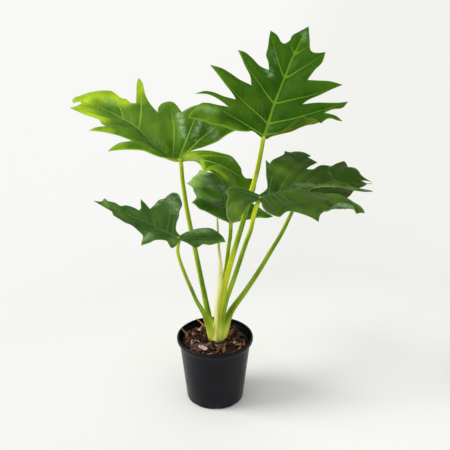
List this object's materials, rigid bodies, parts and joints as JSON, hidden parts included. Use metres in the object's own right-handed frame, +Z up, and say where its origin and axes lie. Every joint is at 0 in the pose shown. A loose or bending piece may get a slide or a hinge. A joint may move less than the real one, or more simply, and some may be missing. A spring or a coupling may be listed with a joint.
{
  "type": "potted philodendron",
  "caption": "Potted lacy tree philodendron: large deeply lobed green leaves on long arching stalks rising from bark soil in a round black tapered nursery pot.",
  "frame": {"origin": "centre of the pot's flat base, on the surface the pot stands on", "axes": "+Z up, -Y towards the viewer of the picture, +X to that viewer's right"},
  "size_m": [0.4774, 0.3401, 0.5601],
  "materials": {
    "pot": "matte black moulded plastic with a slight sheen",
    "soil": "rough dark bark and peat mix",
    "bark": "rough split bark",
    "leaves": "waxy green leaf, glossy above and paler below",
    "stalks": "smooth satin yellow-green stalk",
    "sheath": "pale cream satin sheath"
  },
  "bodies": {
    "root": {"pot": "pot", "soil": "soil", "crown": "stalks", "sheath": "sheath", "young_leaf": "stalks", "blade_a": "leaves", "blade_b": "leaves", "blade_c": "leaves", "blade_d": "leaves", "blade_e": "leaves", "blade_f": "leaves", "petiole_a": "stalks", "petiole_b": "stalks", "petiole_c": "stalks", "petiole_d": "stalks", "petiole_e": "stalks", "petiole_f": "stalks", "bark_chunk": "bark", "bark_curl": "bark", "bark_chip": "bark", "twig_back": "bark", "twig_left": "bark"}
  },
  "joints": []
}
